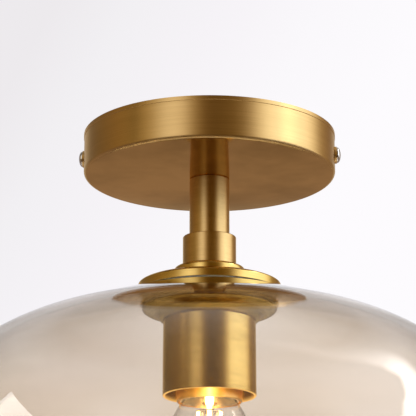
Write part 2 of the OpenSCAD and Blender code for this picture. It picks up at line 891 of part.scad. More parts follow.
// Two hoops on a centre rod carry the ends of the filaments
module bulb_supports() {
    wire_r = 0.4;
    hoop_t = 0.5;
    color("#b5b7ba") {
        rod(wire_r, z_filament_low - 1, z_mount);
        for (z = [z_filament_top, z_filament_low - hoop_t])
            difference() {
                rod(filament_ring_r + filament_r, z, z + hoop_t);
                for (i = [0:filament_count - 1])
                    rotate(360 * (i + 0.5) / filament_count)
                        translate([filament_ring_r * 0.75, 0, 0])
                            bore(filament_ring_r * 0.4, z, z + hoop_t);
            }
    }
}

module bulb_filaments() {
    color("#ffc65a")
        for (i = [0:filament_count - 1])
            rotate(360 * i / filament_count)
                translate([filament_ring_r, 0, 0])
                    rod(filament_r, z_filament_low, z_filament_top);
}

ceiling_bracket();
earth_screw();
terminal_block();
terminal_screws();
live_lead();
neutral_lead();
earth_lead();
canopy();
canopy_lock_washer();
canopy_nut();
threaded_tube();
stem_tube();
stem_bushes();
stem_collar();
step_ring();
upper_dish();
upper_gasket();
glass_shade();
lower_gasket();
centring_disc();
lower_dish();
socket_cup();
cup_lock_washer();
holder_cap();
holder_core();
holder_sleeve();
screw_shell();
centre_contact();
holder_terminals();
side_washer(-1);  // side_washer_left
side_screw(-1);  // side_screw_left
side_washer(1);  // side_washer_right
side_screw(1);  // side_screw_right
bulb_contact();
bulb_insulator();
bulb_cap();
bulb_glass();
bulb_stem();
bulb_supports();
bulb_filaments();
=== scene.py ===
"""Looks of the glass ceiling light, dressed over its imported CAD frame."""
import json
import math

import bmesh
import bpy
from mathutils import Matrix, Vector


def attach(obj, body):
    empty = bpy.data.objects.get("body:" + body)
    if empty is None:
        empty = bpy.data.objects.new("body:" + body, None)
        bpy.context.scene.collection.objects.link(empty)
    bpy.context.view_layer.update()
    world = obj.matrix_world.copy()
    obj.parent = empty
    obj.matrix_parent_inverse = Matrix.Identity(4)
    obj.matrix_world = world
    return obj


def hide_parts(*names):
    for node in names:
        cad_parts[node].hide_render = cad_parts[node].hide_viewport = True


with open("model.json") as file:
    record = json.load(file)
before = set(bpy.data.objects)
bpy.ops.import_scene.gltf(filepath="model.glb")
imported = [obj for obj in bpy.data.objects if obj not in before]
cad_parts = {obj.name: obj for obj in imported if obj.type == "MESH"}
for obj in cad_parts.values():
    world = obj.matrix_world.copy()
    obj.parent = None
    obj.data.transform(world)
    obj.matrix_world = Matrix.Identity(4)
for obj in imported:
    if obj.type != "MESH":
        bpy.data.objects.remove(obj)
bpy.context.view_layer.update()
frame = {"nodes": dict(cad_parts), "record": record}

MM = 0.001
# Depth down to which a face that looks down is the polished underside of the canopy
POLISHED_DEPTH = 0.03
# Depth below the ceiling over which the materials' ramps run
DEPTH_SPAN = 0.25
# The camera stands a little to the right of the -Y axis; the lights and the surroundings turn with it
VIEW_TURN = math.radians(3.1)
TURN = Matrix.Rotation(VIEW_TURN, 4, "Z")


# ---------------------------------------------------------------- outlines
def bezier(p, n):
    """n + 1 points on the cubic curve with the four (radius, height) controls p."""
    out = []
    for i in range(n + 1):
        t = i / n
        s = 1 - t
        k = (s * s * s, 3 * s * s * t, 3 * s * t * t, t * t * t)
        out.append(tuple(sum(w * q[a] for w, q in zip(k, p)) for a in (0, 1)))
    return out


def arc(x, z, r, a, b, n):
    """Points on an arc round (x, z), from a to b degrees."""
    turn = [math.radians(a + (b - a) * i / n) for i in range(n + 1)]
    return [(x + r * math.cos(t), z + r * math.sin(t)) for t in turn]


def shifted(points, d):
    """The points moved sideways by d, square to the line through their neighbours."""
    out = []
    last = len(points) - 1
    for i, (x, z) in enumerate(points):
        a, b = points[max(i - 1, 0)], points[min(i + 1, last)]
        tx, tz = b[0] - a[0], b[1] - a[1]
        size = math.hypot(tx, tz)
        out.append((x + d * tz / size, z - d * tx / size))
    return out


# ---------------------------------------------------------------- meshes
def placed(name, data):
    """New object of the scene, for a mesh, a lamp or the camera."""
    obj = bpy.data.objects.new(name, data)
    bpy.context.scene.collection.objects.link(obj)
    return obj


def finish_mesh(name, bm, sharp):
    """Smooth object from a bmesh, with its edges sharp from the given degrees on."""
    bmesh.ops.recalc_face_normals(bm, faces=bm.faces)
    mesh = bpy.data.meshes.new(name)
    bm.to_mesh(mesh)
    bm.free()
    mesh.shade_smooth()
    mesh.set_sharp_from_angle(angle=math.radians(sharp))
    return placed(name, mesh)


def add_rings(bm, rings):
    """Skins rings of points, the last one back to the first. Each has one point or as many as the others."""
    made = [[bm.verts.new(p) for p in ring] for ring in rings]
    for a, b in zip(made, made[1:] + made[:1]):
        steps = max(len(a), len(b))
        for i in range(steps if steps > 1 else 0):
            j = (i + 1) % steps
            quad = [a[i % len(a)], a[j % len(a)], b[j % len(b)], b[i % len(b)]]
            face = list(dict.fromkeys(quad))
            if len(face) > 2:
                bm.faces.new(face)


def lathe(name, outline, steps=180, sharp=32):
    """Turned solid from its closed outline of (radius, height) points in millimetres."""
    rings = []
    for r, z in outline:
        if r < 1e-6:
            rings.append([(0, 0, z * MM)])
        else:
            angles = [2 * math.pi * i / steps for i in range(steps)]
            rings.append([(r * MM * math.cos(t), r * MM * math.sin(t), z * MM) for t in angles])
    bm = bmesh.new()
    add_rings(bm, rings)
    return finish_mesh(name, bm, sharp)


def rolled_thread(name, outer, inner, pitch, depth, z_top, z_low, steps=72, rows=10, fade=0.6):
    """Thin shell with a round rolled thread on both of its faces, smooth at its two ends."""
    count = int(rows * (z_top - z_low) / pitch)

    def ring(r, z):
        ends = min(1, (z_top - z) / (fade * pitch), (z - z_low) / (fade * pitch))
        out = []
        for i in range(steps):
            t = 2 * math.pi * i / steps
            wave = 0.5 - 0.5 * math.cos(2 * math.pi * z / pitch - t)
            rr = (r - depth * wave * max(0, ends)) * MM
            out.append((rr * math.cos(t), rr * math.sin(t), z * MM))
        return out

    levels = [z_top + (z_low - z_top) * i / count for i in range(count + 1)]
    bm = bmesh.new()
    add_rings(bm, [ring(outer, z) for z in levels] + [ring(inner, z) for z in reversed(levels)])
    return finish_mesh(name, bm, 50)


# ---------------------------------------------------------------- materials
class Nodes:
    """A material's node tree, with short calls for the nodes that these materials use."""

    def __init__(self, name):
        self.mat = bpy.data.materials.new(name)
        self.mat.use_nodes = True
        self.tree = self.mat.node_tree
        self.tree.nodes.clear()
        self.out = self.add("ShaderNodeOutputMaterial")
        self.shader = self.add("ShaderNodeBsdfPrincipled")
        self.link(self.shader.outputs[0], self.out.inputs["Surface"])

    def add(self, kind, **values):
        node = self.tree.nodes.new(kind)
        for key, value in values.items():
            setattr(node, key, value)
        return node

    def link(self, a, b):
        self.tree.links.new(a, b)

    def feed(self, value, socket):
        """Gives a socket a value of its own, or a link from another socket."""
        if isinstance(value, (int, float, tuple)):
            socket.default_value = value
        else:
            self.link(value, socket)

    def glow(self, colour, strength=1.0):
        """Light that the surface gives off."""
        self.link(colour, self.shader.inputs["Emission Color"])
        self.set(Emission_Strength=strength)

    def set(self, **values):
        for key, value in values.items():
            self.shader.inputs[key.replace("_", " ")].default_value = value

    def math(self, how, a, b=None):
        node = self.add("ShaderNodeMath", operation=how)
        self.feed(a, node.inputs[0])
        if b is not None:
            self.feed(b, node.inputs[1])
        return node.outputs[0]

    def place(self):
        """Separate X, Y and Z of the point in the object's frame."""
        split = self.add("ShaderNodeSeparateXYZ")
        self.link(self.add("ShaderNodeTexCoord").outputs["Object"], split.inputs[0])
        return split.outputs

    def normal(self):
        """Separate X, Y and Z of the surface normal."""
        split = self.add("ShaderNodeSeparateXYZ")
        self.link(self.add("ShaderNodeNewGeometry").outputs["Normal"], split.inputs[0])
        return split.outputs

    def radius(self, x, y):
        """Distance from the Z axis."""
        return self.math("SQRT", self.math("ADD", self.math("MULTIPLY", x, x), self.math("MULTIPLY", y, y)))

    def noise(self, scale, detail=2.0, vector=None, rough=0.5):
        node = self.add("ShaderNodeTexNoise")
        node.inputs["Scale"].default_value = scale
        node.inputs["Detail"].default_value = detail
        node.inputs["Roughness"].default_value = rough
        if vector is None:
            vector = self.add("ShaderNodeTexCoord").outputs["Object"]
        self.link(vector, node.inputs["Vector"])
        return node.outputs[0]

    def ring_vector(self, across, along):
        """Coordinates whose noise runs in fine lines round the Z axis."""
        x, y, z = self.place()
        r = self.radius(x, y)
        safe = self.math("MAXIMUM", r, 0.0005)
        joined = self.add("ShaderNodeCombineXYZ")
        lines = self.math("ADD", self.math("MULTIPLY", z, 0.83), r)
        self.link(self.math("MULTIPLY", lines, across), joined.inputs[0])
        self.link(self.math("MULTIPLY", self.math("DIVIDE", x, safe), along), joined.inputs[1])
        self.link(self.math("MULTIPLY", self.math("DIVIDE", y, safe), along), joined.inputs[2])
        return joined.outputs[0]

    def ramp(self, factor, stops):
        """Colour ramp whose stops are (place, grey level or colour)."""
        node = self.add("ShaderNodeValToRGB")
        elements = node.color_ramp.elements
        while len(elements) < len(stops):
            elements.new(0.5)
        for element, (at, value) in zip(elements, stops):
            element.position = at
            if isinstance(value, (int, float)):
                value = (value, value, value)
            element.color = (*value, 1)
        self.link(factor, node.inputs[0])
        return node.outputs[0]

    def by_depth(self, stops):
        """Colour ramp over the depth below the ceiling, with the places of its stops in metres."""
        depth = self.math("MULTIPLY", self.place()[2], -1 / DEPTH_SPAN)
        return self.ramp(depth, [(at / DEPTH_SPAN, value) for at, value in stops])

    def blend(self, how, a, b, factor=1.0):
        """Colours a and b in one of the mix modes. Each of the three may be a socket or a value."""
        node = self.add("ShaderNodeMix", data_type="RGBA", blend_type=how)
        for value, place in ((factor, 0), (a, 6), (b, 7)):
            self.feed(value, node.inputs[place])
        return node.outputs[2]

    def bump(self, height, strength, distance):
        node = self.add("ShaderNodeBump")
        node.inputs["Strength"].default_value = strength
        node.inputs["Distance"].default_value = distance
        self.link(height, node.inputs["Height"])
        self.link(node.outputs[0], self.shader.inputs["Normal"])


# Distances from the middle at which the ramps across the sleeve, and across the cup and lower dish, end
SLEEVE_REACH, CUP_REACH = 16 * MM, 22 * MM


def painted_sleeve_glow(m):
    """Painted glow: emission on the holder's sleeve stands in for the warm light of the lit filament on it,
    brightest in the middle as seen from the camera.
    """
    x, y, _ = m.place()
    aside = m.math("ADD", m.math("MULTIPLY", x, math.cos(VIEW_TURN)), m.math("MULTIPLY", y, math.sin(VIEW_TURN)))
    across = m.math("MULTIPLY", m.math("ABSOLUTE", aside), 1 / SLEEVE_REACH)
    m.glow(m.ramp(across, [(0.0, (3.4, 2.3, 0.85)), (0.13, (2.2, 1.25, 0.28)), (0.28, (1.15, 0.55, 0.06)),
                           (0.50, (0.36, 0.17, 0.016)), (0.72, (0.13, 0.06, 0.008)), (1.0, (0.05, 0.024, 0.005))]))


def painted_cap_glow(m):
    """Painted glow: emission low on the cap metal stands in for the bulb's own light inside its cap and on the rim
    of the cap.
    """
    low = m.by_depth([(0.1195, 0.0), (0.128, 1.0)])
    m.glow(m.ramp(low, [(0.0, 0.0), (1.0, (0.42, 0.29, 0.15))]))


def painted_mouth_glow(m):
    """Painted glow: emission stands in for the same light on the faces near the cup's mouth that look inwards or
    down.
    """
    x, y, _ = m.place()
    nx, ny, nz = m.normal()
    outward = m.math("DIVIDE", m.math("ADD", m.math("MULTIPLY", nx, x), m.math("MULTIPLY", ny, y)), m.radius(x, y))
    turned = m.math("MAXIMUM", m.math("MULTIPLY", outward, -1.0), m.math("MULTIPLY", nz, -1.0))
    deep = m.by_depth([(0.1155, 0.0), (0.1235, 0.22), (0.1253, 1.0)])
    m.glow(m.ramp(m.math("MULTIPLY", m.ramp(turned, [(0.3, 0.0), (0.9, 1.0)]), deep),
                  [(0.0, 0.0), (0.22, (0.10, 0.045, 0.006)), (1.0, (1.0, 0.60, 0.17))]))


def turned_brass(name, low, high, rough, spread, aniso=0.75, wear=0.5, glow=None, side_shading=None):
    """Brass brushed on the lathe, with a highlight drawn out across its fine lines.

    The wide underside of the canopy is polished instead: soft mirror with faint clouds. Glow adds painted
    light of its own, and the factors by side, from the left to the right of the cup, paint shade and highlight.
    """
    m = Nodes(name)
    fine = m.noise(1.0, 3.0, m.ring_vector(5200, 2.2), 0.6)
    broad = m.noise(1.0, 2.0, m.ring_vector(700, 1.1), 0.5)
    cloud = m.noise(38, 3.0)
    haze = m.noise(17, 4.0, rough=0.6)
    under = m.math("MULTIPLY", m.ramp(m.math("MULTIPLY", m.normal()[2], -1.0), [(0.80, 0.0), (0.97, 1.0)]),
                   m.by_depth([(0.99 * POLISHED_DEPTH, 1.0), (POLISHED_DEPTH, 0.0)]))
    brushed = m.math("SUBTRACT", 1.0, under)
    both = m.math("ADD", m.math("MULTIPLY", fine, 0.62), m.math("MULTIPLY", broad, 0.38))
    lined = m.math("ADD", m.math("MULTIPLY", both, 0.8), m.math("MULTIPLY", cloud, wear * 0.4))
    dull = tuple(0.82 * v for v in low)
    colour = m.blend("MIX", m.ramp(lined, [(0.34, low), (0.72, high)]), m.ramp(haze, [(0.36, dull), (0.62, high)]),
                     under)
    if side_shading:
        across = m.math("ADD", m.math("MULTIPLY", m.place()[0], 0.5 / CUP_REACH), 0.5)
        colour = m.blend("MULTIPLY", colour, m.ramp(across, side_shading))
    m.link(colour, m.shader.inputs["Base Color"])
    lathe_rough = m.math("ADD", m.math("MULTIPLY", both, spread), rough - spread / 2)
    polish_rough = m.math("ADD", m.math("MULTIPLY", haze, 0.07), 0.055)
    m.link(m.math("ADD", m.math("MULTIPLY", lathe_rough, brushed), m.math("MULTIPLY", polish_rough, under)),
           m.shader.inputs["Roughness"])
    m.link(m.math("MULTIPLY", brushed, aniso), m.shader.inputs["Anisotropic"])
    m.set(Metallic=1.0, Anisotropic_Rotation=0.25, Specular_Tint=(1.0, 0.88, 0.66, 1.0))
    tangent = m.add("ShaderNodeTangent", direction_type="RADIAL", axis="Z")
    m.link(tangent.outputs[0], m.shader.inputs["Tangent"])
    m.bump(m.math("MULTIPLY", both, brushed), 0.12, 0.00005)
    if glow:
        glow(m)
    return m.mat


def plain_metal(name, low, high, rough, spread=0.12, scale=260, strength=0.1, glow=None):
    """Plated or tumbled metal with a faint mottle."""
    m = Nodes(name)
    grain = m.noise(scale, 4.0)
    cloud = m.noise(scale / 9, 2.0)
    tone = m.math("ADD", m.math("MULTIPLY", grain, 0.5), m.math("MULTIPLY", cloud, 0.5))
    m.link(m.ramp(tone, [(0.35, low), (0.68, high)]), m.shader.inputs["Base Color"])
    m.link(m.math("ADD", m.math("MULTIPLY", tone, spread), rough - spread / 2), m.shader.inputs["Roughness"])
    m.set(Metallic=1.0)
    m.bump(grain, strength, 0.00006)
    if glow:
        glow(m)
    return m.mat


def moulded(name, low, high, rough, coat=0.0, scale=420, strength=0.12, subsurface=0.0):
    """Plastic, rubber or ceramic with a fine surface grain."""
    m = Nodes(name)
    grain = m.noise(scale, 3.0)
    cloud = m.noise(55, 2.0)
    tone = m.math("ADD", m.math("MULTIPLY", grain, 0.35), m.math("MULTIPLY", cloud, 0.65))
    m.link(m.ramp(tone, [(0.32, low), (0.7, high)]), m.shader.inputs["Base Color"])
    m.link(m.math("ADD", m.math("MULTIPLY", grain, 0.1), rough - 0.05), m.shader.inputs["Roughness"])
    m.set(Coat_Weight=coat, Subsurface_Weight=subsurface)
    m.bump(grain, strength, 0.00005)
    return m.mat


def glass(name, stops, ior, ripple, scale=14, slant=None, shoulder=None, smoke=0.0):
    """Clear glass whose surface wavers a little, as blown glass does, with a tint that changes with height.

    Each stop is a height in metres and the tint there; the warmer, darker tint low down is partly the glass's
    own and partly painted warm light of the bulb. Slant gives the factors on that tint where the wall is seen
    more and more along its face: partly the longer way through the glass, partly a painted dark reflection.
    Shoulder gives them for the flat top of the shade, as a painted dark reflection of the dish. Smoke is how
    much faint level clouds take from the tint.
    """
    m = Nodes(name)
    sweep = m.noise(scale, 2.0)
    top, low = stops[0][0], stops[-1][0]
    level = m.math("DIVIDE", m.math("SUBTRACT", top, m.place()[2]), top - low)
    drift = m.math("ADD", level, m.math("MULTIPLY", m.math("SUBTRACT", sweep, 0.5), 0.12))
    colour = m.ramp(drift, [((top - z) / (top - low), tint) for z, tint in stops])
    if slant:
        weight = m.add("ShaderNodeLayerWeight")
        weight.inputs["Blend"].default_value = 0.5
        facing = weight.outputs["Facing"]
        dimmed = m.blend("MIX", m.ramp(facing, slant), m.ramp(facing, shoulder),
                         m.by_depth([(0.092, 1.0), (0.100, 0.0)]))
        colour = m.blend("MULTIPLY", colour, dimmed)
    if smoke:
        flat = m.add("ShaderNodeMapping")
        flat.inputs["Scale"].default_value = (5.0, 5.0, 26.0)
        m.link(m.add("ShaderNodeTexCoord").outputs["Object"], flat.inputs["Vector"])
        clouds = m.noise(1.0, 3.0, flat.outputs[0])
        veil = m.ramp(clouds, [(0.38, 1.0), (0.62, (1 - smoke, 1 - smoke, 1 - 1.1 * smoke))])
        colour = m.blend("MULTIPLY", colour, veil)
    m.link(colour, m.shader.inputs["Base Color"])
    m.set(Roughness=0.0, IOR=ior, Transmission_Weight=1.0)
    m.bump(sweep, ripple, 0.0006)
    return m.mat


def glowing(name, low, high, strength):
    """Lit filament."""
    m = Nodes(name)
    grain = m.noise(900, 2.0)
    colour = m.ramp(grain, [(0.35, low), (0.65, high)])
    m.link(colour, m.shader.inputs["Base Color"])
    m.glow(colour, strength)
    m.set(Roughness=0.5)
    return m.mat


MATS = {
    "brushed_brass": turned_brass("brushed_brass", (0.54, 0.355, 0.14), (0.70, 0.475, 0.20), 0.30, 0.08),
    # The cup: painted glow at its mouth, painted shade on its left and painted highlight on its right
    "cup_brass": turned_brass("cup_brass", (0.53, 0.375, 0.125), (0.72, 0.525, 0.19), 0.21, 0.06,
                              glow=painted_mouth_glow,
                              side_shading=[(0.0, 0.88), (0.3, (0.74, 0.73, 0.72)), (0.58, (0.78, 0.77, 0.76)),
                                     (0.74, (1.10, 1.12, 1.16)), (1.0, 1.0)]),
    # The lower dish: painted shade towards both of its sides, lighter in the middle
    "seat_brass": turned_brass("seat_brass", (0.54, 0.365, 0.10), (0.72, 0.50, 0.145), 0.20, 0.06,
                               side_shading=[(0.0, (0.46, 0.44, 0.42)), (0.3, (0.50, 0.47, 0.44)),
                                      (0.44, (0.86, 0.85, 0.84)), (0.75, (0.92, 0.90, 0.88)),
                                      (1.0, (0.55, 0.53, 0.50))]),
    "dish_brass": turned_brass("dish_brass", (0.55, 0.365, 0.105), (0.76, 0.53, 0.175), 0.19, 0.06),
    # The holder's sleeve: brass with the painted glow of the filament's light on it
    "brass_painted_glow": plain_metal("brass_painted_glow", (0.66, 0.43, 0.16), (0.86, 0.62, 0.28), 0.32, glow=painted_sleeve_glow),
    "plain_brass": plain_metal("plain_brass", (0.66, 0.43, 0.16), (0.86, 0.62, 0.28), 0.32),
    "zinc_steel": plain_metal("zinc_steel", (0.52, 0.53, 0.54), (0.74, 0.75, 0.76), 0.38, 0.2, 180, 0.2),
    "nickel": plain_metal("nickel", (0.62, 0.60, 0.57), (0.80, 0.78, 0.75), 0.16, 0.06, 300, 0.03),
    # Cap metal with a painted glow low down, for the bulb's light in the cap
    "cap_metal": plain_metal("cap_metal", (0.66, 0.60, 0.48), (0.84, 0.78, 0.64), 0.3, glow=painted_cap_glow),
    # Near black as painted shade: the lower gasket makes the seat seen through the glass read dark
    "dark_gasket": moulded("dark_gasket", (0.05, 0.035, 0.022), (0.09, 0.065, 0.04), 0.4),
    # Shade glass: the lower stops are partly painted bulb light; the slant and shoulder ramps paint dark
    # reflections
    "tinted_glass": glass("tinted_glass", [(-0.08, (0.98, 0.935, 0.885)), (-0.118, (0.975, 0.925, 0.865)),
                                           (-0.15, (0.85, 0.755, 0.645)), (-0.24, (0.83, 0.73, 0.61))], 1.5, 0.05,
                          slant=[(0.64, 1.0), (0.80, (0.86, 0.83, 0.80)), (0.90, (0.58, 0.51, 0.44)),
                                 (0.97, (0.26, 0.18, 0.11))],
                          shoulder=[(0.42, 1.0), (0.60, (0.78, 0.71, 0.63)), (0.75, (0.40, 0.30, 0.20)),
                                    (0.95, (0.14, 0.08, 0.04))], smoke=0.08),
    "clear_glass": glass("clear_glass", [(-0.11, (0.98, 0.98, 0.975)), (-0.20, (0.995, 0.995, 0.99))],
                         1.47, 0.03, 30),
    "black_glass": moulded("black_glass", (0.012, 0.011, 0.011), (0.03, 0.027, 0.026), 0.16, 0.4),
    "clear_gasket": moulded("clear_gasket", (0.66, 0.62, 0.56), (0.82, 0.79, 0.74), 0.34, 0.1, 300, 0.06, 0.3),
    "nylon": moulded("nylon", (0.72, 0.70, 0.65), (0.82, 0.80, 0.76), 0.42, 0.0, 500, 0.1, 0.2),
    "porcelain": moulded("porcelain", (0.80, 0.79, 0.75), (0.88, 0.87, 0.84), 0.18, 0.5, 120, 0.05),
    "block_plastic": moulded("block_plastic", (0.74, 0.72, 0.66), (0.84, 0.82, 0.77), 0.4, 0.0, 600, 0.12, 0.15),
    "brown_insulation": moulded("brown_insulation", (0.13, 0.055, 0.022), (0.20, 0.09, 0.04), 0.42),
    "blue_insulation": moulded("blue_insulation", (0.03, 0.09, 0.30), (0.06, 0.15, 0.42), 0.42),
    "green_insulation": moulded("green_insulation", (0.11, 0.26, 0.03), (0.20, 0.38, 0.06), 0.42),
    "filament": glowing("filament", (1.0, 0.56, 0.17), (1.0, 0.66, 0.26), 14.0),
}

SLOT_OF = {s["node"]: s["material_slot"] for s in frame["record"]["subparts"]}
# CAD nodes whose finish or light differs from the common one of their slot
OWN_LOOK = {"lower_gasket": "dark_gasket", "socket_cup": "cup_brass", "lower_dish": "seat_brass",
            "upper_dish": "dish_brass", "step_ring": "dish_brass", "holder_sleeve": "brass_painted_glow"}


for node_name, node in frame["nodes"].items():
    for material_slot in node.material_slots:
        material_slot.material = MATS[OWN_LOOK.get(node_name, SLOT_OF[node_name])]


def piece(obj, slot, body, *nodes):
    """Gives a new piece its material, its body and the CAD nodes that it stands for."""
    obj.data.materials.append(MATS[slot])
    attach(obj, body)
    if nodes:
        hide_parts(*nodes)


# ---------------------------------------------------------------- glass shade
# Sizes in millimetres, as in part.scad, except that the edges of the hole are cut off here
GLASS_T, HOLE_R, HOLE_EDGE = 3.0, 22.0, 0.5
SEAT_R, SHOULDER_R, SHADE_R, MOUTH_R = 33.85, 80.0, 150.0, 95.0
Z_GLASS, SLOPE = -77.2, 0.32
Z_SHOULDER = Z_GLASS - SLOPE * (SHOULDER_R - SEAT_R)
Z_GIRTH, Z_MOUTH = Z_GLASS - 100.5, Z_GLASS - 158.5


def shade_side(n):
    """Outer line of the shade from its seat out over the shoulder and down to the mouth."""
    bend = bezier([(SEAT_R - 3, Z_GLASS), (SEAT_R - 1, Z_GLASS), (SEAT_R + 1, Z_GLASS - SLOPE),
                   (SEAT_R + 3, Z_GLASS - SLOPE * 3)], 8)
    upper = bezier([(SHOULDER_R, Z_SHOULDER), (SHOULDER_R + 30, Z_SHOULDER - SLOPE * 30),
                    (SHADE_R, Z_GIRTH + 45), (SHADE_R, Z_GIRTH)], n)
    lower = bezier([(SHADE_R, Z_GIRTH), (SHADE_R, Z_GIRTH - 31.9), (125.25, Z_MOUTH + 10.44),
                    (MOUTH_R, Z_MOUTH)], n)
    line = [(SEAT_R + 3 + (SHOULDER_R - SEAT_R - 3) * i / 12,
             Z_GLASS - SLOPE * (3 + (SHOULDER_R - SEAT_R - 3) * i / 12)) for i in range(1, 12)]
    return bend + line + upper + lower[1:]


outer = shade_side(60)
inner = shifted(outer, GLASS_T)
end, end_in = outer[-1], inner[-1]
lip_x, lip_z = (end[0] + end_in[0]) / 2, (end[1] + end_in[1]) / 2
across = ((end[0] - end_in[0]) / GLASS_T, (end[1] - end_in[1]) / GLASS_T)
lip = []
for step in range(1, 12):
    turn = math.pi * step / 12
    c, s = math.cos(turn) * GLASS_T / 2, math.sin(turn) * GLASS_T / 2
    lip.append((lip_x + c * across[0] + s * across[1], lip_z + c * across[1] - s * across[0]))
hole = [(HOLE_R, Z_GLASS - GLASS_T + HOLE_EDGE), (HOLE_R, Z_GLASS - HOLE_EDGE), (HOLE_R + HOLE_EDGE, Z_GLASS)]
shade = lathe("glass_shade_blown", hole + outer + lip + inner[::-1] + [(HOLE_R + HOLE_EDGE, Z_GLASS - GLASS_T)],
              steps=240, sharp=50)
piece(shade, "tinted_glass", "fixture", "glass_shade")
shade.visible_shadow = False

# ---------------------------------------------------------------- bulb
# Sizes in millimetres, as in part.scad
CAP_R, Z_TIP, CAP_L, BULB_WALL = 13.1, -101.0, 27.0, 0.7
Z_RIM = Z_TIP - CAP_L
NECK_R = CAP_R - 0.5
Z_FLARE, FLARE_R, BULB_R, NECK_A = Z_RIM - 3.5, CAP_R + 2, 30.0, 27.5
Z_BULB = Z_FLARE - (BULB_R - FLARE_R * math.cos(math.radians(NECK_A))) / math.sin(math.radians(NECK_A))


def bulb_line(wall):
    """Line of the bulb's glass from its neck to its lower pole, the given wall inside the outer face."""
    neck = [(NECK_R - wall, Z_RIM + 10)]
    swell = bezier([(NECK_R - wall, Z_RIM + 2), (NECK_R - wall, Z_RIM - 0.6),
                    (FLARE_R - wall - 1.2, Z_FLARE + 2.4), (FLARE_R - wall, Z_FLARE)], 10)
    return neck + swell + arc(0, Z_BULB, BULB_R - wall, NECK_A, -89.9, 60) + [(0, Z_BULB - BULB_R + wall)]


bulb = lathe("bulb_glass_blown", bulb_line(0) + bulb_line(BULB_WALL)[::-1], steps=144, sharp=50)
piece(bulb, "clear_glass", "bulb", "bulb_glass")
bulb.visible_shadow = False
frame["nodes"]["bulb_stem"].visible_shadow = False

# The cap is rolled from thin sheet with the round thread of lamp caps
THREAD_PITCH, THREAD_DEPTH, CAP_IN = 3.62, 0.85, CAP_R - 0.3
THREAD_TOP, THREAD_LOW = Z_TIP - 5.2, Z_RIM + 6.0
cap = rolled_thread("bulb_cap_thread", CAP_R, CAP_IN, THREAD_PITCH, THREAD_DEPTH, THREAD_TOP, THREAD_LOW)
piece(cap, "cap_metal", "bulb")
collar = lathe("bulb_cap_skirt", [
    (CAP_R - 3, Z_TIP - 3.3), (CAP_R - 1.2, Z_TIP - 4.4), (CAP_R, THREAD_TOP), (CAP_IN, THREAD_TOP),
    (CAP_R - 1.4, Z_TIP - 4.7), (CAP_R - 3, Z_TIP - 3.7)], 96)
skirt = lathe("bulb_cap_rim", [
    (CAP_R, THREAD_LOW), (CAP_R, Z_RIM + 1.8), (CAP_R + 0.2, Z_RIM + 1.0), (CAP_R + 0.6, Z_RIM),
    (CAP_R + 0.25, Z_RIM), (CAP_R - 0.1, Z_RIM + 1.0), (CAP_IN, Z_RIM + 1.8), (CAP_IN, THREAD_LOW)], 96)
piece(collar, "cap_metal", "bulb")
piece(skirt, "cap_metal", "bulb", "bulb_cap")

# The lit stem in the middle of the glass mount: its glow is painted, with the filament's glowing finish
core = lathe("mount_painted_glow", [
    (0, -119.5), (0.9, -120.0), (1.3, -122.0), (1.4, -128.5), (1.1, -131.8), (0, -132.4)], 32)
piece(core, "filament", "bulb")

# ---------------------------------------------------------------- lamp holder shell
# A plain ring in spite of its name: the depth is 0, because its thread was never made
SHELL_TOP, SHELL_LOW, SHELL_R, SHELL_WALL = -99.7, -125.8, 13.9, 0.4
shell = rolled_thread("screw_shell_thread", SHELL_R, SHELL_R - SHELL_WALL, THREAD_PITCH, 0.0, SHELL_TOP, SHELL_LOW)
piece(shell, "plain_brass", "fixture", "screw_shell")


# ---------------------------------------------------------------- stage and light
def flat_quad(name, corners):
    """One flat face through four corners."""
    bm = bmesh.new()
    bm.faces.new([bm.verts.new(c) for c in corners])
    mesh = bpy.data.meshes.new(name)
    bm.to_mesh(mesh)
    bm.free()
    return placed(name, mesh)


FLOOR_Z, FLOOR_HALF = -1.15, 25.0
floor = flat_quad("studio_floor", [(x * FLOOR_HALF, y * FLOOR_HALF, FLOOR_Z)
                                  for x, y in ((-1, -1), (1, -1), (1, 1), (-1, 1))])
f = Nodes("pale_floor")
mottle = f.noise(3.0, 3.0)
f.link(f.ramp(mottle, [(0.3, (0.79, 0.785, 0.78)), (0.7, (0.83, 0.825, 0.82))]), f.shader.inputs["Base Color"])
f.set(Roughness=0.9)
# Seen from below it is open, so that the light can be looked at from under the floor's level
from_below = f.add("ShaderNodeMixShader")
f.link(f.add("ShaderNodeNewGeometry").outputs["Backfacing"], from_below.inputs[0])
f.link(f.shader.outputs[0], from_below.inputs[1])
f.link(f.add("ShaderNodeBsdfTransparent").outputs[0], from_below.inputs[2])
f.link(from_below.outputs[0], f.out.inputs["Surface"])
floor.data.materials.append(f.mat)
floor.visible_glossy = False


def glow_panel(name, corners, level):
    """Far softbox that the glass mirrors."""
    obj = flat_quad(name, corners)
    obj.matrix_world = TURN
    n = Nodes(name)
    n.tree.nodes.remove(n.shader)
    emit = n.add("ShaderNodeEmission")
    n.link(n.ramp(n.noise(0.8, 1.0), [(0.3, (0.96, 0.95, 0.93)), (0.7, (1.0, 0.99, 0.97))]), emit.inputs["Color"])
    emit.inputs["Strength"].default_value = level
    n.link(emit.outputs[0], n.out.inputs["Surface"])
    obj.data.materials.append(n.mat)
    obj.visible_camera = False
    obj.visible_diffuse = False
    glass_only = bpy.data.collections.new("lit_by_" + name)
    glass_only.objects.link(shade)
    obj.light_linking.receiver_collection = glass_only


glow_panel("softbox_left", [(-1.886, -0.018, 1.578), (-1.99, -1.01, 1.176), (-2.238, -0.83, 0.876),
                            (-2.186, -0.047, 1.203)], 4.6)


def soft_lamp(name, place, size, watts):
    """Wide lamp for the parts that aren't metal or glass."""
    light = bpy.data.lights.new(name, "AREA")
    light.shape = "SQUARE"
    light.size = size
    light.energy = watts
    obj = placed(name, light)
    aim = (-Vector(place)).to_track_quat("-Z", "Y").to_matrix().to_4x4()
    obj.matrix_world = TURN @ Matrix.Translation(place) @ aim
    obj.visible_camera = False
    obj.visible_glossy = False
    obj.visible_transmission = False


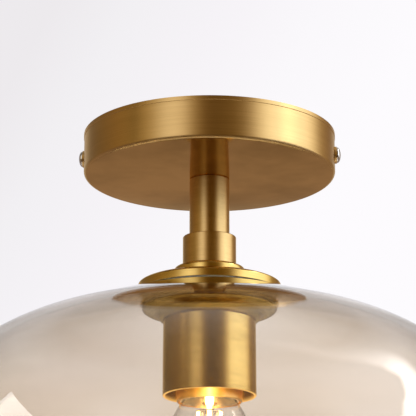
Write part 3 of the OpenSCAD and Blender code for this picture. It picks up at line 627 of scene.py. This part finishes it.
soft_lamp("soft_right", (1.6, -1.1, 0.9), 1.2, 26)
soft_lamp("soft_left", (-1.7, -1.4, 0.4), 1.2, 12)

# Warm light of the filaments on what stands near them
lamp = bpy.data.lights.new("filament_light", "POINT")
lamp.energy = 0.9
lamp.color = (1.0, 0.62, 0.25)
lamp.shadow_soft_size = 0.006
lamp_obj = placed("filament_light", lamp)
lamp_obj.location = (0, 0, -0.134)
lamp_obj.visible_camera = False
lamp_obj.visible_transmission = False
lamp_obj.visible_glossy = False
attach(lamp_obj, "bulb")

# ---------------------------------------------------------------- surroundings
world = bpy.data.worlds.new("studio")
bpy.context.scene.world = world
world.use_nodes = True
# The same short calls, over the world's own tree
w = Nodes.__new__(Nodes)
w.tree = world.node_tree
w.tree.nodes.clear()
w.out = w.add("ShaderNodeOutputWorld")

coords = w.add("ShaderNodeTexCoord")
turned = w.add("ShaderNodeVectorRotate", rotation_type="Z_AXIS")
turned.inputs["Angle"].default_value = -VIEW_TURN
w.link(coords.outputs["Generated"], turned.inputs["Vector"])
split = w.add("ShaderNodeSeparateXYZ")
w.link(turned.outputs[0], split.inputs[0])
dx, dy, dz = split.outputs
azimuth = w.math("ARCTAN2", dx, w.math("MULTIPLY", dy, -1.0))
turn = w.math("ADD", w.math("MULTIPLY", azimuth, 0.5 / math.pi), 0.5)


def at_az(degrees):
    """Ramp place of an azimuth, which is 0 at the front and grows to the right."""
    return 0.5 + degrees / 360


def at_el(degrees):
    """Ramp place of an elevation."""
    return 0.5 + 0.5 * math.sin(math.radians(degrees))


def mixed(factor, a, b):
    return w.blend("MIX", a, b, factor)


def centred(value):
    """A part of a direction, from -1 to 1, brought to 0 to 1 for a ramp."""
    return w.math("ADD", w.math("MULTIPLY", value, 0.5), 0.5)


# Level directions, from behind the light on the left round the front to behind it on the right
AROUND = [
    (-180, 0.50, 0.47, 0.46), (-160, 0.66, 0.63, 0.62), (-139, 0.24, 0.20, 0.20), (-119, 0.25, 0.18, 0.11),
    (-92, 0.34, 0.22, 0.09), (-70, 0.46, 0.33, 0.14), (-58, 0.58, 0.45, 0.25), (-50, 0.82, 0.71, 0.53),
    (-42, 1.22, 1.16, 1.10), (-33, 1.48, 1.44, 1.42), (-24, 1.26, 1.18, 1.12), (-15, 0.58, 0.45, 0.27),
    (-6, 0.22, 0.125, 0.03), (2, 0.14, 0.075, 0.01), (22, 0.19, 0.11, 0.02), (32, 0.32, 0.22, 0.10),
    (40, 0.74, 0.64, 0.52), (47, 1.34, 1.30, 1.26), (56, 1.9, 2.0, 2.15), (66, 1.9, 2.05, 2.3),
    (98, 1.9, 2.0, 2.2), (108, 1.45, 1.4, 1.35), (120, 0.50, 0.38, 0.25), (144, 0.28, 0.20, 0.18),
    (160, 0.66, 0.63, 0.62), (180, 0.50, 0.47, 0.46),
]
around = w.ramp(turn, [(at_az(a), (r, g, b)) for a, r, g, b in AROUND])
height = centred(dz)
front_to_back = centred(dy)
below = w.ramp(front_to_back, [(0.2, (0.13, 0.08, 0.04)), (0.8, (0.34, 0.25, 0.215))])
right_side = w.ramp(centred(dx), [(0.35, (0.14, 0.13, 0.12)), (0.85, (0.95, 0.82, 0.70))])
back_high = w.ramp(front_to_back, [(0.5, 0.0), (0.85, 1.0)])
above = mixed(back_high, right_side, (0.60, 0.585, 0.58, 1))
is_low = w.ramp(height, [(at_el(-12), 1.0), (at_el(-2), 0.0)])
is_high = w.ramp(height, [(at_el(30), 0.0), (at_el(62), 1.0)])
level = mixed(is_high, mixed(is_low, around, below), above)


def rise(value, start, end):
    """Smooth step from 0 at start to 1 at end."""
    node = w.add("ShaderNodeMapRange", interpolation_type="SMOOTHSTEP")
    for given, socket in zip((value, start, end), node.inputs):
        w.feed(given, socket)
    return node.outputs[0]


# Tall window on the right: its front edge (elevation, azimuth) shows as a bright arc in the glass
EDGE = [(24, 66), (31, 73), (40, 84), (46.5, 98), (49, 104), (54, 104), (60, 97), (66, 87), (74, 85)]
LEVELS = [(24, 0.0), (31, 5.2), (47, 5.2), (51, 3.6), (54, 1.6), (58, 0.9), (64, 0.6), (74, 0.45), (84, 0.0)]
edge = w.ramp(height, [(at_el(e), at_az(a)) for e, a in EDGE])
near = rise(turn, w.math("SUBTRACT", edge, 1 / 360), w.math("ADD", edge, 1 / 360))
far = rise(turn, w.math("ADD", edge, 6 / 360), w.math("ADD", edge, 26 / 360))
glare = w.math("MULTIPLY", w.math("MULTIPLY", near, w.math("SUBTRACT", 1.0, far)),
               w.ramp(height, [(at_el(e), v) for e, v in LEVELS]))
level = w.blend("ADD", level, glare)

lean = w.math("ADD", w.math("MULTIPLY", dx, 0.5), w.math("MULTIPLY", w.math("SUBTRACT", dz, 0.28), -0.3))
backdrop = w.ramp(w.math("ADD", lean, 0.5), [
    (0.43, (0.847, 0.823, 0.847)), (0.45, (0.888, 0.871, 0.896)), (0.475, (0.922, 0.896, 0.93)),
    (0.50, (0.956, 0.938, 0.965)), (0.53, (0.982, 0.965, 0.991))])
# The pale backdrop hangs behind the light, a little wider and taller than the picture
sideways = w.math("ABSOLUTE", dx)
wide = w.math("MULTIPLY", w.ramp(sideways, [(0.13, 1.0), (0.22, 0.0)]), w.math("GREATER_THAN", dy, 0.0))
tall = w.math("MULTIPLY", w.ramp(height, [(at_el(2), 0.0), (at_el(8), 1.0)]),
              w.ramp(height, [(at_el(26), 1.0), (at_el(34), 0.0)]))
behind = w.math("MULTIPLY", wide, tall)
# From every other side it shows behind the light too: to the camera, and straight through the glass
path = w.add("ShaderNodeLightPath")
bounced = w.math("SUBTRACT", path.outputs["Ray Depth"], path.outputs["Transmission Depth"])
straight = w.math("MULTIPLY", path.outputs["Is Transmission Ray"], w.math("LESS_THAN", bounced, 0.5))
through = w.math("MULTIPLY", straight, w.ramp(front_to_back, [(0.72, 1.0), (0.86, 0.0)]))
seen = w.math("MAXIMUM", w.math("MAXIMUM", behind, through), path.outputs["Is Camera Ray"])
scenery = mixed(seen, level, backdrop)

shine = w.add("ShaderNodeBackground")
ambient = w.add("ShaderNodeBackground")
w.link(scenery, shine.inputs[0])
ambient.inputs[0].default_value = (0.62, 0.62, 0.62, 1)
either = w.add("ShaderNodeMixShader")
w.link(path.outputs["Is Diffuse Ray"], either.inputs[0])
w.link(shine.outputs[0], either.inputs[1])
w.link(ambient.outputs[0], either.inputs[2])
w.link(either.outputs[0], w.out.inputs["Surface"])

# ---------------------------------------------------------------- camera
CAMERA_AT, CAMERA_TILT = (-0.0007, -0.8638, -0.2889), math.radians(106.36)
camera = bpy.data.cameras.new("camera")
camera.sensor_width = 36
camera.lens = 163.8
camera.clip_start = 0.01
cam_obj = placed("camera", camera)
cam_obj.matrix_world = TURN @ Matrix.Translation(CAMERA_AT) @ Matrix.Rotation(CAMERA_TILT, 4, "X")
bpy.context.scene.camera = cam_obj
bpy.context.scene.view_settings.view_transform = "Standard"
